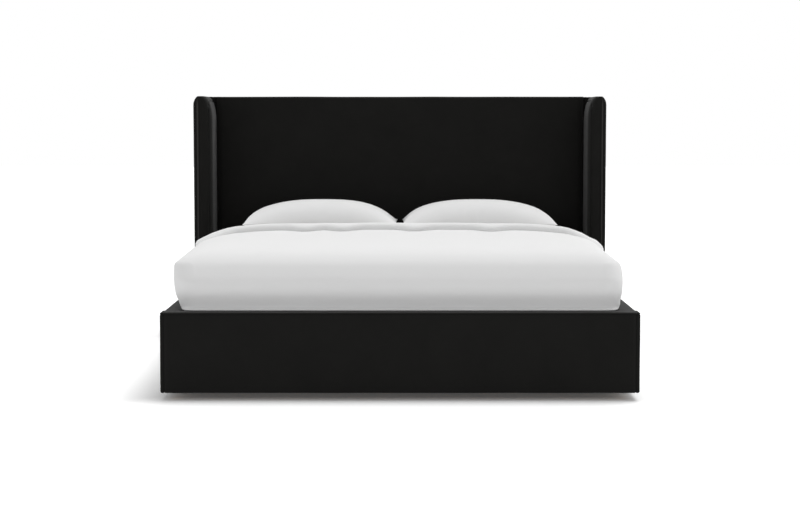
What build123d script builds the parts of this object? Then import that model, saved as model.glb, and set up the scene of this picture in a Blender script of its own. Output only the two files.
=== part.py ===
from build123d import *
import os

# An upholstered platform bed, dressed with a mattress, a duvet and two pillows.
# Millimetres. +X is the bed's left-to-right width, +Y runs from the foot to the head, +Z is up.
# The origin is on the floor, under the middle of the bed's length and width.

# Mattress, and the room that the well leaves round it
mattress_width = 1524.0
mattress_length = 2032.0
mattress_height = 254.0
mattress_corner_radius = 60.0
mattress_edge_radius = 22.0
well_side_gap = 25.5
well_foot_gap = 18.5
well_head_gap = 9.5
mattress_sink = 102.0

# Side rails and foot rail: a timber core in a padded cover
floor_gap = 30.0
rail_height = 288.0
rail_core_thickness = 45.0
rail_outer_padding = 16.0
rail_inner_padding = 6.0
rail_top_padding = 12.0
rail_edge_radius = 12.0
rail_inner_edge_radius = 5.0
rail_bottom_radius = 7.0
inner_wrap_depth = 88.0

# Headboard: a timber frame, a face board, a front pad and a back cover
headboard_height = 1106.0
headboard_frame_depth = 44.0
headboard_timber_width = 70.0
bottom_rail_height = 180.0
face_board_thickness = 9.0
headboard_pad_thickness = 28.0
headboard_top_padding = 12.0
headboard_edge_radius = 12.0
back_cover_thickness = 7.9

# Wings: a panel core in a padded cover, standing outside the side rails
wing_thickness = 86.0
wing_projection = 200.0
wing_rail_gap = 9.5
wing_core_thickness = 38.0
wing_front_padding = 18.0
wing_top_padding = 22.0
wing_edge_radius = 12.0
wing_top_outer_radius = 32.0
wing_top_inner_width = 41.0
wing_top_inner_height = 115.0
wing_inner_corner_radius = 4.0
wing_cleat_length = 800.0
wing_bolt_inset = 80.0
wing_bolt_count = 3

# Bed base: ledgers, centre beam, slats, legs and feet
ledger_width = 35.0
ledger_height = 40.0
ledger_end_clearance = 2.0
ledger_screw_count = 8
slat_thickness = 18.0
slat_width = 75.0
slat_count = 12
slat_end_margin = 55.0
slat_end_clearance = 2.0
beam_width = 40.0
beam_height = 60.0
leg_count = 3
leg_radius = 19.0
leg_flange_radius = 32.0
leg_flange_thickness = 4.0
glide_height = 12.0
glide_wall = 3.0
glide_socket_depth = 7.0
foot_length = 60.0
foot_taper = 3.0
foot_end_distance = 220.0
headboard_foot_inset = 90.0

# Metal fittings
bracket_leg = 62.0
bracket_height = 100.0
bracket_thickness = 5.0
bracket_bend_radius = 8.0
bracket_above_floor_gap = 18.0
bracket_bolt_share = 0.62
bracket_bolt_edge = 24.0
hanger_thickness = 3.0
hanger_cheek_depth = 40.0
hanger_flange_width = 22.0
bolt_radius = 4.0
bolt_head_radius = 8.0
bolt_head_height = 4.5
insert_radius = 5.5
insert_flange_radius = 11.0
insert_flange_thickness = 1.5
insert_length = 14.0
insert_bite = 9.0
screw_radius = 2.25
screw_head_radius = 4.4
screw_head_height = 2.6
screw_length = 45.0
hole_clearance = 0.1

# Bedding
soft_clearance = 0.3
duvet_hem_height = 250.0
duvet_hem_gap = 4.5
duvet_foot_hem_gap = 2.0
duvet_top_loft = 66.0
duvet_corner_radius = 100.0
cuff_depth = 330.0
cuff_rise = 16.0
cuff_side_thickness = 4.0
cuff_corner_radius = 26.0
pillow_length = 702.0
pillow_depth = 470.0
pillow_height = 165.0
pillow_corner_radius = 46.0
pillow_side_draw = 16.0
pillow_headboard_gap = 12.0
pillow_cuff_gap = 81.5
pillow_spacing = 6.0
overcut = 5.0

# Places worked out from the sizes above
rail_thickness = rail_core_thickness + rail_outer_padding + rail_inner_padding
well_half = mattress_width / 2 + well_side_gap
rail_outer = well_half + rail_thickness
core_inner = well_half + rail_inner_padding
core_outer = core_inner + rail_core_thickness
rail_bottom = floor_gap
rail_top = floor_gap + rail_height
rail_core_top = rail_top - rail_top_padding
wrap_bottom = rail_top - inner_wrap_depth
slat_top = rail_top - mattress_sink
slat_bottom = slat_top - slat_thickness
mattress_top = slat_top + mattress_height
headboard_thickness = (
    headboard_pad_thickness + face_board_thickness + headboard_frame_depth + back_cover_thickness
)
well_length = mattress_length + well_foot_gap + well_head_gap
bed_length = rail_thickness + well_length + headboard_thickness
foot_front = -bed_length / 2
foot_core_front = foot_front + rail_outer_padding
foot_core_back = foot_core_front + rail_core_thickness
well_foot = foot_front + rail_thickness
well_head = well_foot + well_length
board_front = well_head + headboard_pad_thickness
timber_front = board_front + face_board_thickness
timber_back = timber_front + headboard_frame_depth
bed_back = timber_back + back_cover_thickness
timber_top = headboard_height - headboard_top_padding
wing_inner = rail_outer + wing_rail_gap
wing_outer = wing_inner + wing_thickness
wing_front = well_head - wing_projection
wing_core_inner = wing_inner + (wing_thickness - wing_core_thickness) / 2
wing_core_outer = wing_core_inner + wing_core_thickness
stile_inner = wing_inner - headboard_timber_width
mattress_foot = well_foot + well_foot_gap
mattress_head = mattress_foot + mattress_length
beam_top = slat_bottom
beam_bottom = beam_top - beam_height
bracket_bottom = rail_bottom + bracket_above_floor_gap
bracket_top = bracket_bottom + bracket_height
pillow_front = well_head - pillow_headboard_gap - pillow_depth
duvet_end = pillow_front - pillow_cuff_gap


def block(x, y, z):
    """A box between two corners, each axis given as a (low, high) pair."""
    middle = Pos((x[0] + x[1]) / 2, (y[0] + y[1]) / 2, (z[0] + z[1]) / 2)
    return middle * Box(x[1] - x[0], y[1] - y[0], z[1] - z[0])


def save(name, shape):
    """Writes one piece, or one group of like pieces, under its own name."""
    shape.label = name
    export_step(shape, "parts/" + name + ".step")


def both_sides(shape):
    """A right-hand piece and its mirror image on the left."""
    return {"right": shape, "left": mirror(shape, about=Plane.YZ)}


def rod(radius, start, direction, length):
    """A round bar from a start point along an axis direction."""
    return Plane(origin=start, z_dir=direction) * extrude(Circle(radius), length)


def spread(low, high, count):
    """Evenly spaced places from low to high, both included."""
    return [low + (high - low) * i / (count - 1) for i in range(count)]


# Fasteners: each is made once along a direction, with the hole that it needs
def bolt(head_face, direction, grip):
    """A round-headed bolt whose head rests on head_face; its shank reaches grip into the timber."""
    back = tuple(-d for d in direction)
    head = rod(bolt_head_radius, head_face, back, bolt_head_height)
    return head + rod(bolt_radius, head_face, direction, grip)


def bolt_hole(head_face, direction, grip):
    """The clearance hole for a bolt, run on past its tip."""
    return rod(bolt_radius + hole_clearance, head_face, direction, grip + insert_length)


def insert(outer_face, direction):
    """A flanged threaded insert, sunk flush in outer_face, its barrel going in along direction."""
    body = rod(insert_radius, outer_face, direction, insert_length)
    body += rod(insert_flange_radius, outer_face, direction, insert_flange_thickness)
    return body - rod(bolt_radius, outer_face, direction, insert_length)


def insert_seat(outer_face, direction):
    """The pocket that a threaded insert fills."""
    body = rod(insert_radius, outer_face, direction, insert_length)
    return body + rod(insert_flange_radius, outer_face, direction, insert_flange_thickness)


def screw(head_face, direction):
    """A countersunk wood screw with its head flush with head_face."""
    head = Plane(origin=head_face, z_dir=direction) * Pos(0, 0, screw_head_height / 2) * Cone(
        screw_head_radius, screw_radius, screw_head_height
    )
    return head + rod(screw_radius, head_face, direction, screw_length)


# Timber and padded rails
def side_core():
    return block(
        (core_inner, core_outer), (foot_core_back, board_front), (rail_bottom, rail_core_top)
    )


def foot_core():
    return block(
        (-core_outer, core_outer), (foot_core_front, foot_core_back), (rail_bottom, rail_core_top)
    )


def side_cover(cores):
    """The padded cover of a side rail: outside, top, and a short turn down inside the well."""
    form = block((well_half, rail_outer), (well_foot, board_front), (rail_bottom, rail_top))
    along = form.edges().filter_by(Axis.Y)
    top_outer = along.filter_by(lambda e: e.center().Z > rail_core_top and e.center().X > core_outer)
    top_inner = along.filter_by(lambda e: e.center().Z > rail_core_top and e.center().X < core_inner)
    low_outer = along.filter_by(lambda e: e.center().Z < rail_core_top and e.center().X > core_outer)
    form = fillet(top_outer, rail_edge_radius)
    form = fillet(pick_like(form, top_inner), rail_inner_edge_radius)
    form = fillet(pick_like(form, low_outer), rail_bottom_radius)
    bare = block(
        (well_half - overcut, core_inner),
        (well_foot - overcut, board_front + overcut),
        (rail_bottom - overcut, wrap_bottom),
    )
    return form - cores - bare


def pick_like(shape, wanted):
    """The edges of shape whose middles match those of the wanted edges along X and Z."""
    places = [(e.center().X, e.center().Z) for e in wanted]
    return shape.edges().filter_by(Axis.Y).filter_by(
        lambda e: any(abs(e.center().X - x) < soft_clearance and abs(e.center().Z - z) < soft_clearance
                      for x, z in places)
    )


def foot_cover(cores):
    """The padded cover of the foot rail, which wraps both front corners."""
    form = block((-rail_outer, rail_outer), (foot_front, well_foot), (rail_bottom, rail_top))
    front = form.faces().sort_by(Axis.Y)[0]
    top = form.faces().sort_by(Axis.Z)[-1]
    back = form.faces().sort_by(Axis.Y)[-1]
    bottom = form.faces().sort_by(Axis.Z)[0]
    round_edges = [
        e for e in form.edges()
        if not on_face(e, back) and not on_face(e, bottom) and (on_face(e, front) or on_face(e, top))
    ]
    form = fillet(round_edges, rail_edge_radius)
    low = form.faces().sort_by(Axis.Z)[0]
    low_edges = [e for e in low.edges() if e.center().Y < well_foot - rail_bottom_radius]
    form = fillet(low_edges, rail_bottom_radius)
    bare = block(
        (-core_inner, core_inner),
        (foot_core_back, well_foot + overcut),
        (rail_bottom - overcut, wrap_bottom),
    )
    return form - cores - bare


def on_face(edge, face):
    """True where an edge's middle lies on a face of a plain block."""
    return face.distance_to(edge.center()) < soft_clearance


# Headboard
def headboard_timbers():
    """The five members of the headboard's inner frame, butted together."""
    y = (timber_front, timber_back)
    inner_top = timber_top - headboard_timber_width
    bottom_top = rail_bottom + bottom_rail_height
    half = headboard_timber_width / 2
    stile = both_sides(block((stile_inner, wing_inner), y, (rail_bottom, timber_top)))
    return {
        "headboard_stile_right": stile["right"],
        "headboard_stile_left": stile["left"],
        "headboard_top_rail": block((-stile_inner, stile_inner), y, (inner_top, timber_top)),
        "headboard_bottom_rail": block((-stile_inner, stile_inner), y, (rail_bottom, bottom_top)),
        "headboard_middle_stile": block((-half, half), y, (bottom_top, inner_top)),
    }


def face_board():
    return block((-wing_inner, wing_inner), (board_front, timber_front), (rail_bottom, timber_top))


def headboard_pad():
    """The front pad, turned over the top edge to the back, and let down between the side rails."""
    front = block((-wing_inner, wing_inner), (well_head, bed_back), (wrap_bottom, headboard_height))
    top = front.faces().sort_by(Axis.Z)[-1]
    form = fillet(top.edges().filter_by(Axis.X), headboard_edge_radius)
    behind = block(
        (-wing_inner - overcut, wing_inner + overcut),
        (board_front, bed_back + overcut),
        (wrap_bottom - overcut, timber_top),
    )
    form -= behind
    rail_room = block(
        (well_half - soft_clearance, wing_inner + overcut),
        (well_head - overcut, board_front + overcut),
        (wrap_bottom - overcut, rail_top + soft_clearance),
    )
    return form - rail_room - mirror(rail_room, about=Plane.YZ)


def back_cover():
    return block((-wing_inner, wing_inner), (timber_back, bed_back), (rail_bottom, timber_top))


# Wings
def wing_outline(inner_width, inner_height):
    """The wing seen from the front: a round outer top corner and an inner one of a given size."""
    low = rail_bottom
    top = headboard_height
    inner_start = top - inner_height
    inner_end = wing_inner + inner_width
    outer_start = wing_outer - wing_top_outer_radius
    edges = [
        Line((wing_inner, low), (wing_inner, inner_start)),
        EllipticalCenterArc((inner_end, inner_start), inner_width, inner_height, 90, arc_size=90),
        Line((inner_end, top), (outer_start, top)),
        TangentArc((outer_start, top), (wing_outer, top - wing_top_outer_radius), tangent=(1, 0)),
        Line((wing_outer, top - wing_top_outer_radius), (wing_outer, low)),
        Line((wing_outer, low), (wing_inner, low)),
    ]
    return make_face(edges)


def wing_form():
    """The long soft corner runs back to the headboard, where the wing's corner squares up."""
    plane = Plane(origin=(0, wing_front, 0), x_dir=(1, 0, 0), z_dir=(0, -1, 0))
    soft = wing_outline(wing_top_inner_width, wing_top_inner_height)
    form = extrude(plane * soft, -(well_head - wing_front))
    front = form.faces().sort_by(Axis.Y)[0]
    edges = [e for e in front.edges() if e.center().Z > rail_bottom + overcut]
    square = wing_outline(wing_inner_corner_radius, wing_inner_corner_radius)
    behind = Plane(origin=(0, well_head, 0), x_dir=(1, 0, 0), z_dir=(0, -1, 0))
    return fillet(edges, wing_edge_radius) + extrude(behind * square, -(bed_back - well_head))


def wing_core():
    return block(
        (wing_core_inner, wing_core_outer),
        (wing_front + wing_front_padding, timber_back),
        (rail_bottom, headboard_height - wing_top_padding),
    )


def wing_cleat():
    """The batten between the wing's panel and the headboard's stile."""
    middle = (rail_bottom + timber_top) / 2
    return block(
        (wing_inner, wing_core_inner),
        (timber_front, timber_back),
        (middle - wing_cleat_length / 2, middle + wing_cleat_length / 2),
    )


def wing_bolt_places():
    middle = (rail_bottom + timber_top) / 2
    reach = wing_cleat_length / 2 - wing_bolt_inset
    y = (timber_front + timber_back) / 2
    return [(y, z) for z in spread(middle - reach, middle + reach, wing_bolt_count)]


# Base: ledgers, centre beam, slats, legs and feet
def ledger():
    return block(
        (core_inner - ledger_width, core_inner),
        (foot_core_back + ledger_end_clearance, board_front - ledger_end_clearance),
        (slat_bottom - ledger_height, slat_bottom),
    )


def ledger_screw_places():
    first = foot_core_back + slat_end_margin * 2
    last = board_front - slat_end_margin * 2
    z = slat_bottom - ledger_height / 2
    return [(y, z) for y in spread(first, last, ledger_screw_count)]


def slat_places():
    return spread(foot_core_back + slat_end_margin, board_front - slat_end_margin, slat_count)


def slat(y):
    half = core_inner - slat_end_clearance
    return block((-half, half), (y - slat_width / 2, y + slat_width / 2), (slat_bottom, slat_top))


def centre_beam():
    return block(
        (-beam_width / 2, beam_width / 2),
        (foot_core_back + hanger_thickness, board_front - hanger_thickness),
        (beam_bottom, beam_top),
    )


def beam_hanger(face, inward):
    """A folded steel hanger: a back plate on the timber, a shelf and two cheeks round the beam."""
    wide = beam_width / 2 + hanger_thickness + hanger_flange_width
    narrow = beam_width / 2 + hanger_thickness
    back = sorted((face, face + inward * hanger_thickness))
    reach = sorted((face, face + inward * hanger_cheek_depth))
    z = (beam_bottom - hanger_thickness, beam_top - hanger_thickness)
    plate = block((-wide, wide), back, z)
    cup = block((-narrow, narrow), reach, z)
    hollow = block(
        (-beam_width / 2, beam_width / 2),
        sorted((face + inward * hanger_thickness, face + inward * (hanger_cheek_depth + overcut))),
        (beam_bottom, beam_top + overcut),
    )
    return plate + (cup - hollow)


def hanger_screw_places():
    x = beam_width / 2 + hanger_thickness + hanger_flange_width / 2
    quarter = beam_height / 4
    return [
        (side * x, z) for side in (-1, 1) for z in (beam_bottom + quarter, beam_top - quarter)
    ]


def leg_places():
    room = (board_front - foot_core_back) / (leg_count + 1)
    return [foot_core_back + room * (i + 1) for i in range(leg_count)]


def centre_leg(y):
    post = rod(leg_radius, (0, y, glide_height - glide_socket_depth), (0, 0, 1),
               beam_bottom - glide_height + glide_socket_depth)
    flange_bottom = beam_bottom - leg_flange_thickness
    return post + rod(leg_flange_radius, (0, y, flange_bottom), (0, 0, 1), leg_flange_thickness)


def leg_glide(y):
    cup = rod(leg_radius + glide_wall, (0, y, 0), (0, 0, 1), glide_height)
    return cup - rod(leg_radius, (0, y, glide_height - glide_socket_depth), (0, 0, 1), glide_height)


def low_foot(x, y):
    """A squat block under a rail, a little narrower at the floor."""
    top = Pos(x, y, rail_bottom) * Rectangle(rail_core_thickness, foot_length)
    floor_face = Pos(x, y, 0) * Rectangle(
        rail_core_thickness - foot_taper * 2, foot_length - foot_taper * 2
    )
    return loft([floor_face, top])


# Corner brackets
def bracket(corner_y, inward):
    """A folded steel angle: one leg on the side rail's core, one on the timber across its end."""
    low_x = core_inner - bracket_leg
    along = sorted((corner_y, corner_y + inward * bracket_leg))
    across = sorted((corner_y, corner_y + inward * bracket_thickness))
    z = (bracket_bottom, bracket_top)
    side = block((core_inner - bracket_thickness, core_inner), along, z)
    plate = side + block((low_x, core_inner), across, z)
    inside = (core_inner - bracket_thickness, corner_y + inward * bracket_thickness)
    bend = plate.edges().filter_by(Axis.Z).filter_by(
        lambda e: abs(e.center().X - inside[0]) < hole_clearance
        and abs(e.center().Y - inside[1]) < hole_clearance
    )
    return fillet(bend, bracket_bend_radius)


def bracket_bolt_heights():
    return [bracket_bottom + bracket_bolt_edge, bracket_top - bracket_bolt_edge]


def side_leg_bolts(corner_y, inward):
    """Bolts through a bracket's long leg into the side rail: (head face, outer face of the timber)."""
    y = corner_y + inward * bracket_leg * bracket_bolt_share
    return [
        ((core_inner - bracket_thickness, y, z), (core_outer, y, z)) for z in bracket_bolt_heights()
    ]


def end_leg_bolts(corner_y, inward, timber_depth):
    """Bolts through a bracket's short leg into the timber across the rail's end."""
    x = core_inner - bracket_leg * bracket_bolt_share
    head_y = corner_y + inward * bracket_thickness
    outer_y = corner_y - inward * timber_depth
    return [((x, head_y, z), (x, outer_y, z)) for z in bracket_bolt_heights()]


# Bedding
def ring(z, front, back, foot_half, head_half, radius):
    """One level of a soft form: a quadrilateral with round corners, wider or narrower at the head."""
    corners = [(-foot_half, front), (foot_half, front), (head_half, back), (-head_half, back)]
    face = make_face(Polyline(*corners, close=True))
    return Pos(0, 0, z) * fillet(face.vertices(), radius)


# For each level of the duvet: its share of the rise from the rails to the duvet's top, then how
# far it stands out past the hem in front, at the foot corners and at the head end, as shares of
# the rail's thickness.
duvet_level_shares = [
    (0.000, -0.02, -0.05, 0.00),
    (0.124, 0.30, 0.28, 0.50),
    (0.317, 0.53, 0.54, 1.05),
    (0.514, 0.61, 0.61, 1.30),
    (0.711, 0.50, 0.52, 1.18),
    (0.826, 0.05, 0.24, 0.50),
    (0.894, -0.50, -0.02, -0.30),
    (0.945, -1.30, -0.70, -1.60),
    (0.982, -3.00, -2.25, -4.40),
    (1.000, -7.00, -6.00, -8.40),
]
# For the same levels of the cuff: how far its lip draws in, as a share of the rise of the cuff.
cuff_draw_shares = [0.6, 0.3, 0.1, 0.0, 0.0, 0.05, 0.15, 0.35, 0.8, 2.0]


def duvet_form():
    """The outside of the duvet: tucked in at the rails, bulging over them, crowned on top."""
    hem_half = well_half - duvet_hem_gap
    hem_front = well_foot + duvet_foot_hem_gap
    rise = mattress_top + duvet_top_loft - rail_top
    tuck_heights = (duvet_hem_height, (duvet_hem_height + rail_top) / 2)
    levels = [
        ring(z, hem_front, duvet_end, hem_half, hem_half, mattress_corner_radius)
        for z in tuck_heights
    ]
    for height_share, foot_share, corner_share, head_share in duvet_level_shares:
        levels.append(ring(
            rail_top + rise * height_share,
            hem_front - rail_thickness * foot_share,
            duvet_end - rail_thickness * max(-foot_share, 0) / 4,
            hem_half + rail_thickness * corner_share,
            hem_half + rail_thickness * head_share,
            mattress_corner_radius + (duvet_corner_radius - mattress_corner_radius) * height_share,
        ))
    return loft(levels, ruled=True)


def cuff_form():
    """The folded-back end of the duvet, lying on it as one more layer with a round lip."""
    hem_half = well_half - duvet_hem_gap
    lip = duvet_end - cuff_depth
    rise = mattress_top + duvet_top_loft + cuff_rise - rail_top
    levels = []
    for shares, draw_share in zip(duvet_level_shares, cuff_draw_shares):
        height_share, head_share = shares[0], shares[-1]
        half = hem_half + rail_thickness * head_share + cuff_side_thickness * min(height_share * 4, 1)
        levels.append(ring(
            rail_top + rise * height_share,
            lip + cuff_rise * draw_share,
            duvet_end - cuff_rise * draw_share,
            half,
            half,
            cuff_corner_radius,
        ))
    return loft(levels, ruled=True)


def duvet():
    form = duvet_form() + cuff_form()
    inside = block(
        (-mattress_width / 2 - soft_clearance, mattress_width / 2 + soft_clearance),
        (mattress_foot - soft_clearance, mattress_head),
        (duvet_hem_height - overcut, mattress_top + soft_clearance),
    )
    return form - inside


def mattress():
    form = block(
        (-mattress_width / 2, mattress_width / 2),
        (mattress_foot, mattress_head),
        (slat_top, mattress_top),
    )
    form = fillet(form.edges().filter_by(Axis.Z), mattress_corner_radius)
    rims = form.faces().sort_by(Axis.Z)[-1].edges() + form.faces().sort_by(Axis.Z)[0].edges()
    return fillet(rims, mattress_edge_radius)


def pillow_ring(x, y, z, share):
    """One level of a pillow: four sides drawn in between round corners."""
    half_x = pillow_length / 2 * share
    half_y = pillow_depth / 2 * share
    draw = pillow_side_draw * share
    sides = [
        ThreePointArc((-half_x, -half_y), (0, -half_y + draw), (half_x, -half_y)),
        ThreePointArc((half_x, -half_y), (half_x - draw, 0), (half_x, half_y)),
        ThreePointArc((half_x, half_y), (0, half_y - draw), (-half_x, half_y)),
        ThreePointArc((-half_x, half_y), (-half_x + draw, 0), (-half_x, -half_y)),
    ]
    face = make_face(sides)
    return Pos(x, y, z) * fillet(face.vertices(), pillow_corner_radius * share)


def pillow(x):
    """A stuffed pillow: flat where it lies, widest at its seam, crowned above."""
    y = pillow_front + pillow_depth / 2
    bottom = mattress_top + soft_clearance
    level_shares = [
        (0.00, 0.70), (0.07, 0.84), (0.20, 0.95), (0.41, 1.00), (0.565, 0.915),
        (0.73, 0.78), (0.84, 0.667), (0.893, 0.56), (0.965, 0.33), (1.00, 0.14),
    ]
    levels = [
        pillow_ring(x, y, bottom + pillow_height * height_share, size_share)
        for height_share, size_share in level_shares
    ]
    return loft(levels, ruled=True)


# Build: cores and covers, then cut the holes that the fasteners need, then write each piece
os.makedirs("parts", exist_ok=True)
pieces = {}
cuts = {}


def add_piece(name, shape):
    pieces[name] = shape
    cuts[name] = []


side_cores = both_sides(side_core())
for side, shape in side_cores.items():
    add_piece("side_rail_core_" + side, shape)
for side, shape in both_sides(side_cover(side_cores["right"])).items():
    add_piece("side_rail_cover_" + side, shape)
add_piece("foot_rail_core", foot_core())
add_piece("foot_rail_cover", foot_cover(foot_core() + side_cores["right"] + side_cores["left"]))
for name, shape in headboard_timbers().items():
    add_piece(name, shape)
add_piece("headboard_face_board", face_board())
add_piece("headboard_pad", headboard_pad())
add_piece("headboard_back_cover", back_cover())
for side, shape in both_sides(wing_core()).items():
    add_piece("wing_core_" + side, shape)
for side, shape in both_sides(wing_cleat()).items():
    add_piece("wing_cleat_" + side, shape)
for side, shape in both_sides(wing_form() - wing_core() - wing_cleat()).items():
    add_piece("wing_pad_" + side, shape)
for side, shape in both_sides(ledger()).items():
    add_piece("slat_ledger_" + side, shape)
add_piece("centre_beam", centre_beam())
add_piece("beam_hanger_foot", beam_hanger(foot_core_back, 1))
add_piece("beam_hanger_head", beam_hanger(board_front, -1))
for number, y in enumerate(leg_places(), start=1):
    add_piece("centre_leg_" + str(number), centre_leg(y))
add_piece("leg_glides", Compound([leg_glide(y) for y in leg_places()]))
for number, y in enumerate(slat_places(), start=1):
    add_piece("slat_" + str(number).zfill(2), slat(y))
for end, corner_y, inward in (("foot", foot_core_back, 1), ("head", board_front, -1)):
    for side, shape in both_sides(bracket(corner_y, inward)).items():
        add_piece("corner_bracket_" + end + "_" + side, shape)
rail_foot_x = (core_inner + core_outer) / 2
for end, y in (("front", foot_front + foot_end_distance), ("rear", well_head - foot_end_distance)):
    for side, shape in both_sides(low_foot(rail_foot_x, y)).items():
        add_piece("rail_foot_" + end + "_" + side, shape)
headboard_foot_x = wing_inner - headboard_foot_inset
headboard_foot_y = (timber_front + timber_back) / 2
for side, shape in both_sides(low_foot(headboard_foot_x, headboard_foot_y)).items():
    add_piece("headboard_foot_" + side, shape)

bolts = []
inserts = []


def fasten(head_face, outer_face, direction, stems, shared):
    """Bolts a joint on both sides: stems are piece names that end in a side, shared are whole."""
    depth = sum(abs(o - h) for o, h in zip(outer_face, head_face))
    grip = depth - insert_length + insert_bite
    back = tuple(-d for d in direction)
    made = both_sides(bolt(head_face, direction, grip))
    sleeve = both_sides(insert(outer_face, back))
    hole = both_sides(bolt_hole(head_face, direction, grip))
    seat = both_sides(insert_seat(outer_face, back))
    for side in ("right", "left"):
        bolts.append(made[side])
        inserts.append(sleeve[side])
        for name in [stem + side for stem in stems] + shared:
            cuts[name] += [hole[side], seat[side]]


corners = (
    ("foot", foot_core_back, 1, rail_core_thickness, ["foot_rail_core"]),
    ("head", board_front, -1, face_board_thickness + headboard_frame_depth,
     ["headboard_face_board", "headboard_bottom_rail"]),
)
for end, corner_y, inward, timber_depth, timbers in corners:
    plate = "corner_bracket_" + end + "_"
    for head_face, outer_face in side_leg_bolts(corner_y, inward):
        fasten(head_face, outer_face, (1, 0, 0), [plate, "side_rail_core_"], [])
    for head_face, outer_face in end_leg_bolts(corner_y, inward, timber_depth):
        fasten(head_face, outer_face, (0, -inward, 0), [plate], timbers)
for y, z in wing_bolt_places():
    fasten((stile_inner, y, z), (wing_core_outer, y, z), (1, 0, 0),
           ["headboard_stile_", "wing_cleat_", "wing_core_"], [])

screws = []
for y, z in ledger_screw_places():
    pair = both_sides(screw((core_inner - ledger_width, y, z), (1, 0, 0)))
    for side in ("right", "left"):
        screws.append(pair[side])
        cuts["slat_ledger_" + side].append(pair[side])
        cuts["side_rail_core_" + side].append(pair[side])
for number, y in enumerate(slat_places(), start=1):
    pair = both_sides(screw((core_inner - ledger_width / 2, y, slat_top), (0, 0, -1)))
    for side in ("right", "left"):
        screws.append(pair[side])
        cuts["slat_" + str(number).zfill(2)].append(pair[side])
        cuts["slat_ledger_" + side].append(pair[side])
for x, z in hanger_screw_places():
    at_foot = screw((x, foot_core_back + hanger_thickness, z), (0, -1, 0))
    at_head = screw((x, board_front - hanger_thickness, z), (0, 1, 0))
    screws += [at_foot, at_head]
    cuts["beam_hanger_foot"].append(at_foot)
    cuts["foot_rail_core"].append(at_foot)
    for name in ("beam_hanger_head", "headboard_face_board", "headboard_bottom_rail"):
        cuts[name].append(at_head)

add_piece("connector_bolts", Compound(bolts))
add_piece("threaded_inserts", Compound(inserts))
add_piece("wood_screws", Compound(screws))
add_piece("mattress", mattress())
add_piece("duvet", duvet())
pillow_x = (pillow_length + pillow_spacing) / 2
for side, shape in both_sides(pillow(pillow_x)).items():
    add_piece("pillow_" + side, shape)

for name, shape in pieces.items():
    for cut in cuts[name]:
        shape = shape - cut
    save(name, shape)
print(len(pieces), "pieces, bed", 2 * wing_outer, "x", bed_length, "x", headboard_height)
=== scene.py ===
import math

import bmesh
import bpy
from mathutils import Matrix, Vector, noise


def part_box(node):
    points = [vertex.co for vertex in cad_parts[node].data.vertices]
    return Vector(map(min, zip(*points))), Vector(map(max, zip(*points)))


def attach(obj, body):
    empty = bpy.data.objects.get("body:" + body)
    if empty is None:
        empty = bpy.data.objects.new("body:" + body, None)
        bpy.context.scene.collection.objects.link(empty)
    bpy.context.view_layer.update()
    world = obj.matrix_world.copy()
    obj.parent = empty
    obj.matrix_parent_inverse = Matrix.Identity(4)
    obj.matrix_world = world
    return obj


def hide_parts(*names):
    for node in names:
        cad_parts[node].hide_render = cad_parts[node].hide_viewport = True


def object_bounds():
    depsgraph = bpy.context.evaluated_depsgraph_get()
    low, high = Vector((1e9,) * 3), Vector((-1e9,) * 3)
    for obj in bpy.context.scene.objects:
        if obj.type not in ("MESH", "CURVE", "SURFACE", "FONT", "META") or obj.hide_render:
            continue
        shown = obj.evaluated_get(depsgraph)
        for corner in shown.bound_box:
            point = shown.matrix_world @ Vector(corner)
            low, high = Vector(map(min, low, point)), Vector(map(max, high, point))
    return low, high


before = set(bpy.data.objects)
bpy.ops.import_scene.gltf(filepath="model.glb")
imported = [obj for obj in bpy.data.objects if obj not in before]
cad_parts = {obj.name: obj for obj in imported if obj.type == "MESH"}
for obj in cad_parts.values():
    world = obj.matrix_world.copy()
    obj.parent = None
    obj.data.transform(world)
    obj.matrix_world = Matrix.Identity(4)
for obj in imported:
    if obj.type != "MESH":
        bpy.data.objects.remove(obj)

cad_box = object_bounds()
scene = bpy.context.scene
scene.view_settings.view_transform = "Standard"

# Camera: in front of the foot, a metre up, looking a little down, as in the photograph.
# A long lens keeps the wings nearly upright.
camera_height = 1.0036
camera_distance = 6.2766
camera_tilt = 85.7
camera_lens = 80
camera_film = 36
camera = bpy.data.objects.new("camera", bpy.data.cameras.new("camera"))
scene.collection.objects.link(camera)
bed_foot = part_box("foot_rail_cover")[0].y
camera.location = (0, bed_foot - camera_distance, camera_height)
camera.rotation_euler = (math.radians(camera_tilt), 0, 0)
camera.data.lens = camera_lens
camera.data.sensor_width = camera_film
scene.camera = camera

# Floor and light: a pale floor that fades to white, a white room that is brightest at its two
# sides, and one large soft lamp above and to the right, so that the bed's shadow falls to its
# left. Seen directly, the floor glows a little; the glow is held back near and under the bed as
# painted shade, and reaches less far out on the left, as a painted shadow there.
floor_half = 30.0
floor_paint = 0.95
floor_lift = 0.32
# Painted shade on the floor: the glow is lowest under the bed and rises to full past its reach,
# further out on the left.
floor_lift_in_painted_shade = 0.055
painted_shade_fade_x = (-0.14, 0.10)
painted_shadow_shift = 0.06
painted_shade_fade_y = (-0.12, 0.12)
room_light = 0.5
room_front = 0.80
room_sides = 1.35
lamp_place = (1.1, 1.5, 5.0)
lamp_spread = 38
lamp_strength = 1.68


def fill_in(tree, node, inputs):
    """Gives a node's inputs, each as a plain value or as another node's output."""
    for name, value in inputs.items():
        if isinstance(value, bpy.types.NodeSocket):
            tree.links.new(value, node.inputs[name])
        else:
            node.inputs[name].default_value = value


def add_node(tree, kind, inputs):
    """A new node of a kind, with its inputs."""
    made = tree.nodes.new("ShaderNode" + kind)
    fill_in(tree, made, inputs)
    return made


def place_node(tree, kind="Object"):
    """The coordinates that a pattern is read at."""
    return tree.nodes.new("ShaderNodeTexCoord").outputs[kind]


def math_node(tree, operation, *values):
    """One step of arithmetic: gives back its result."""
    made = tree.nodes.new("ShaderNodeMath")
    made.operation = operation
    fill_in(tree, made, dict(enumerate(values)))
    return made.outputs[0]


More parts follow.
